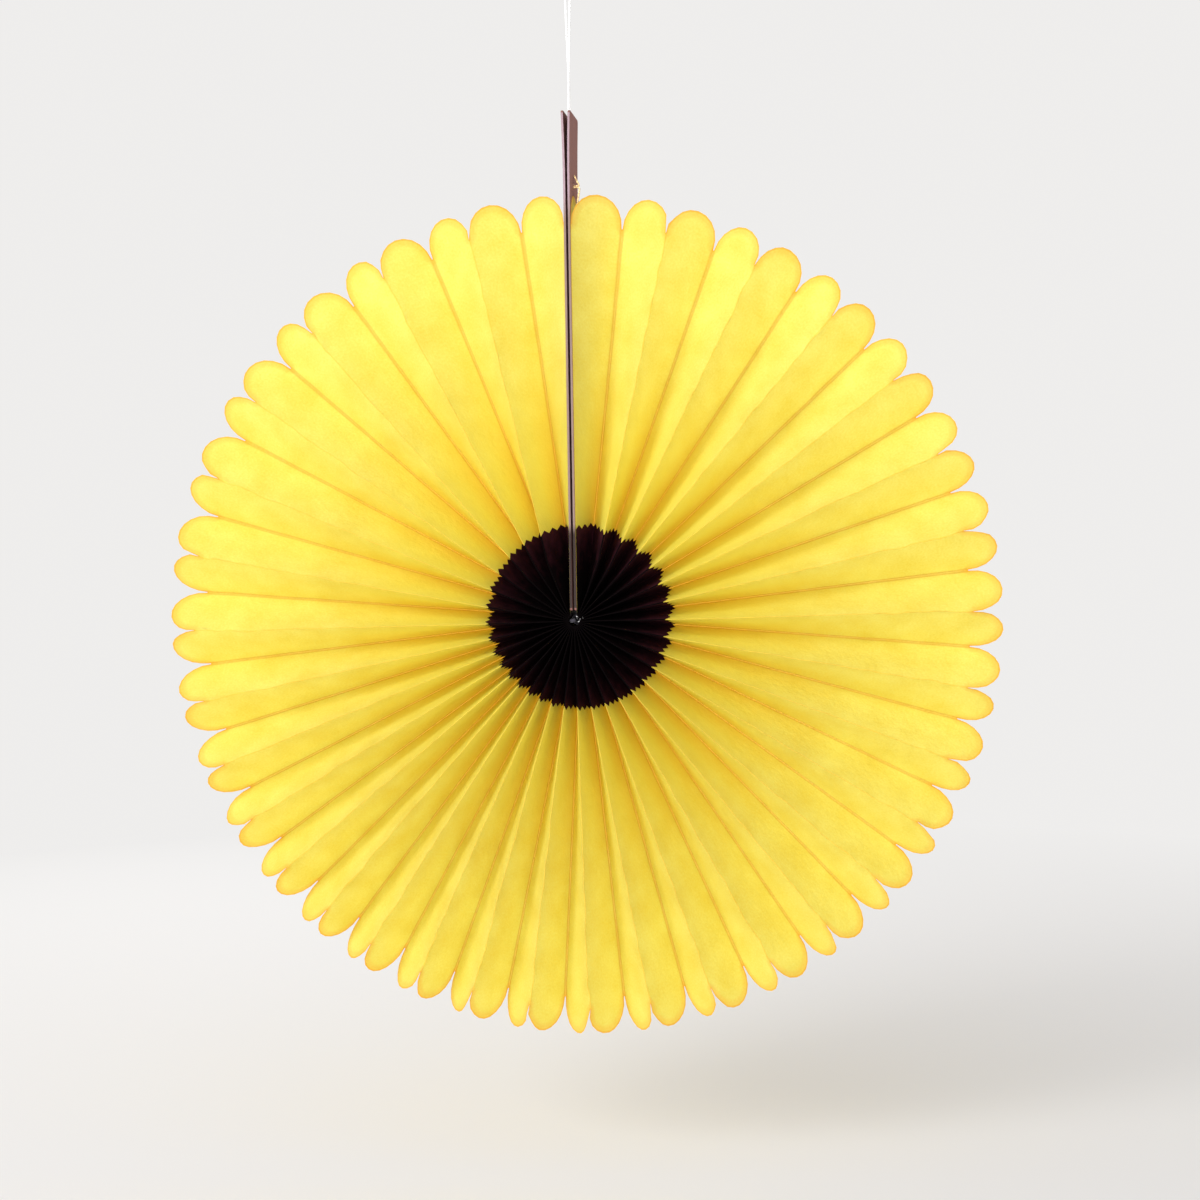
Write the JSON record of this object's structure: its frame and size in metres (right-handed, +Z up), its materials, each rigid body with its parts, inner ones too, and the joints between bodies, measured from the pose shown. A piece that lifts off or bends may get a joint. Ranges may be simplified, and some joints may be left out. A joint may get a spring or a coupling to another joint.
{
  "type": "paper fan rosette",
  "caption": "Tissue-paper sunflower fan opened into a full pleated circle, with a dark pinked centre, cardboard covers held by a paper fastener and a string loop to hang it by.",
  "frame": {"origin": "top of the hanging string's loop, where the fan hangs from its hook", "axes": "+Z up along the seam, the front of the fan faces -Y, +X to the right seen from the front"},
  "size_m": [0.3295, 0.024, 0.4112],
  "materials": {
    "yellow_tissue": "matte",
    "dark_tissue": "matte",
    "cardboard": "matte",
    "brass": "polished",
    "string": "matte",
    "thread": "matte"
  },
  "bodies": {
    "root": {"petal_fan": "yellow_tissue", "dark_centre": "dark_tissue", "cover_right": "cardboard", "cover_left": "cardboard", "paper_fastener": "brass", "hanging_string": "string", "centre_thread": "thread"}
  },
  "joints": []
}
